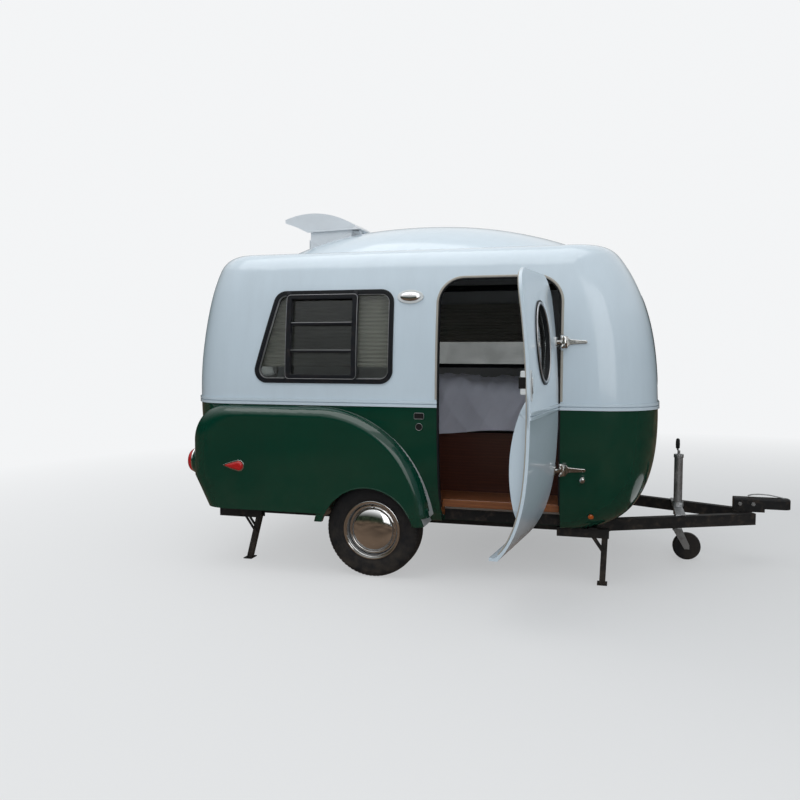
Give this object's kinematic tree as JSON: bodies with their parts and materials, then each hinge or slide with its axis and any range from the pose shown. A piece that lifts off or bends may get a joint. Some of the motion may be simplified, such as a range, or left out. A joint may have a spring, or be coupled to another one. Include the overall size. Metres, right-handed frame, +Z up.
{
  "type": "compact moulded camping trailer",
  "caption": "Egg-shaped moulded cabin on a single-axle frame with faired wheels, side door, rear hatch, raised roof, roof vent, corner stands and ball coupler",
  "frame": {"origin": "centre of the tow ball in the coupler", "axes": "+X towards the towing vehicle along the trailer, +Y to its left side, +Z up"},
  "size_m": [3.8563, 2.8151, 2.3929],
  "materials": {
    "white_gelcoat": "gloss",
    "green_gelcoat": "gloss",
    "floor_wood": "satin",
    "bunk_wood": "satin",
    "black_steel": "satin",
    "window_rubber": "matte",
    "window_glass": "gloss",
    "blind_fabric": "matte",
    "bedding": "matte",
    "chrome": "polished",
    "red_lens": "gloss",
    "tyre_rubber": "matte",
    "wheel_steel": "satin",
    "zinc_steel": "satin"
  },
  "bodies": {
    "trailer": {"upper_shell": "white_gelcoat", "lower_shell": "green_gelcoat", "belt_trim": "white_gelcoat", "floor_panel": "floor_wood", "frame_rails": "black_steel", "frame_crossmembers": "black_steel", "coupler": "black_steel", "axle_beam": "black_steel", "torsion_arms": "black_steel", "right_window_frame": "window_rubber", "right_window_glass": "window_glass", "left_window_frame": "window_rubber", "left_window_glass": "window_glass", "front_window_frame": "window_rubber", "front_window_glass": "window_glass", "blinds": "blind_fabric", "door_seal": "window_rubber", "door_hinges_body": "chrome", "hatch_hinges_body": "chrome", "porch_lamp": "chrome", "tail_lamps": "red_lens", "marker_lamps": "red_lens", "vent_base": "white_gelcoat", "bunk_box": "bunk_wood", "mattress": "bedding", "jack_tube": "zinc_steel", "stand_brackets": "black_steel"},
    "side_door": {"door_skin": "white_gelcoat", "door_port_ring": "chrome", "door_port_glass": "window_glass", "door_liner": "white_gelcoat", "door_hinges_door": "chrome"},
    "rear_hatch": {"hatch_upper": "white_gelcoat", "hatch_lower": "green_gelcoat", "hatch_window_frame": "window_rubber", "hatch_window_glass": "window_glass", "hatch_hinges_hatch": "chrome"},
    "roof_vent_lid": {"vent_lid": "white_gelcoat"},
    "jack_inner_leg": {"jack_leg": "zinc_steel"},
    "jack_castor": {"jack_fork": "zinc_steel"},
    "jack_roller": {"jack_wheel": "tyre_rubber"},
    "left_wheel": {"left_tyre": "tyre_rubber", "left_rim": "wheel_steel", "left_trim_ring": "chrome", "left_hubcap": "chrome"},
    "left_rear_leg": {"left_rear_stand_leg": "black_steel"},
    "left_rear_brace": {"left_rear_stand_brace": "black_steel"},
    "left_front_leg": {"left_front_stand_leg": "black_steel"},
    "left_front_brace": {"left_front_stand_brace": "black_steel"},
    "right_wheel": {"right_tyre": "tyre_rubber", "right_rim": "wheel_steel", "right_trim_ring": "chrome", "right_hubcap": "chrome"},
    "right_rear_leg": {"right_rear_stand_leg": "black_steel"},
    "right_rear_brace": {"right_rear_stand_brace": "black_steel"},
    "right_front_leg": {"right_front_stand_leg": "black_steel"},
    "right_front_brace": {"right_front_stand_brace": "black_steel"}
  },
  "joints": [
    {"name": "side_door_hinge", "type": "hinge", "parent": "trailer", "child": "side_door", "pos_m": [-1.37, -1.016, 0.687], "axis": [0, 0, 1], "range_deg": [-83, 27]},
    {"name": "rear_hatch_hinge", "type": "hinge", "parent": "trailer", "child": "rear_hatch", "pos_m": [-3.768, 0, 1.339], "axis": [0, 1, 0], "range_deg": [0, 80]},
    {"name": "roof_vent_hinge", "type": "hinge", "parent": "trailer", "child": "roof_vent_lid", "pos_m": [-2.865, 0, 1.861], "axis": [0, -1, 0], "range_deg": [0, 16]},
    {"name": "left_wheel_spin", "type": "hinge", "parent": "trailer", "child": "left_wheel", "pos_m": [-2.52, 0.9, -0.108], "axis": [0, 1, 0], "continuous": true},
    {"name": "right_wheel_spin", "type": "hinge", "parent": "trailer", "child": "right_wheel", "pos_m": [-2.52, -0.9, -0.108], "axis": [0, 1, 0], "continuous": true},
    {"name": "jack_slide", "type": "slide", "parent": "trailer", "child": "jack_inner_leg", "axis": [0, 0, 1], "range_m": [-0.12, 0.05]},
    {"name": "jack_castor_swivel", "type": "hinge", "parent": "jack_inner_leg", "child": "jack_castor", "pos_m": [-0.658, 0, -0.2], "axis": [0, 0, 1], "continuous": true},
    {"name": "jack_wheel_spin", "type": "hinge", "parent": "jack_castor", "child": "jack_roller", "pos_m": [-0.596, 0, -0.315], "axis": [0, 1, 0], "continuous": true},
    {"name": "left_rear_stand_fold", "type": "hinge", "parent": "trailer", "child": "left_rear_leg", "pos_m": [-3.388, 0.745, -0.105], "axis": [0, 1, 0], "range_deg": [0, 75]},
    {"name": "left_rear_brace_fold", "type": "hinge", "parent": "left_rear_leg", "child": "left_rear_brace", "pos_m": [-3.41572, 0.745, -0.213], "axis": [0, 1, 0], "range_deg": [-123, 0]},
    {"name": "right_rear_stand_fold", "type": "hinge", "parent": "trailer", "child": "right_rear_leg", "pos_m": [-3.388, -0.745, -0.105], "axis": [0, 1, 0], "range_deg": [0, 75]},
    {"name": "right_rear_brace_fold", "type": "hinge", "parent": "right_rear_leg", "child": "right_rear_brace", "pos_m": [-3.41572, -0.745, -0.213], "axis": [0, 1, 0], "range_deg": [-123, 0]},
    {"name": "left_front_stand_fold", "type": "hinge", "parent": "trailer", "child": "left_front_leg", "pos_m": [-1.12, 0.745, -0.105], "axis": [0, 1, 0], "range_deg": [0, 87]},
    {"name": "left_front_brace_fold", "type": "hinge", "parent": "left_front_leg", "child": "left_front_brace", "pos_m": [-1.12432, 0.745, -0.213], "axis": [0, 1, 0], "range_deg": [-134, 0]},
    {"name": "right_front_stand_fold", "type": "hinge", "parent": "trailer", "child": "right_front_leg", "pos_m": [-1.12, -0.745, -0.105], "axis": [0, 1, 0], "range_deg": [0, 87]},
    {"name": "right_front_brace_fold", "type": "hinge", "parent": "right_front_leg", "child": "right_front_brace", "pos_m": [-1.12432, -0.745, -0.213], "axis": [0, 1, 0], "range_deg": [-134, 0]}
  ],
  "couplings": [
    {"joint": "left_rear_brace_fold", "follows": "left_rear_stand_fold", "ratio": -1.6205},
    {"joint": "right_rear_brace_fold", "follows": "right_rear_stand_fold", "ratio": -1.6205},
    {"joint": "left_front_brace_fold", "follows": "left_front_stand_fold", "ratio": -1.5342},
    {"joint": "right_front_brace_fold", "follows": "right_front_stand_fold", "ratio": -1.5342}
  ]
}
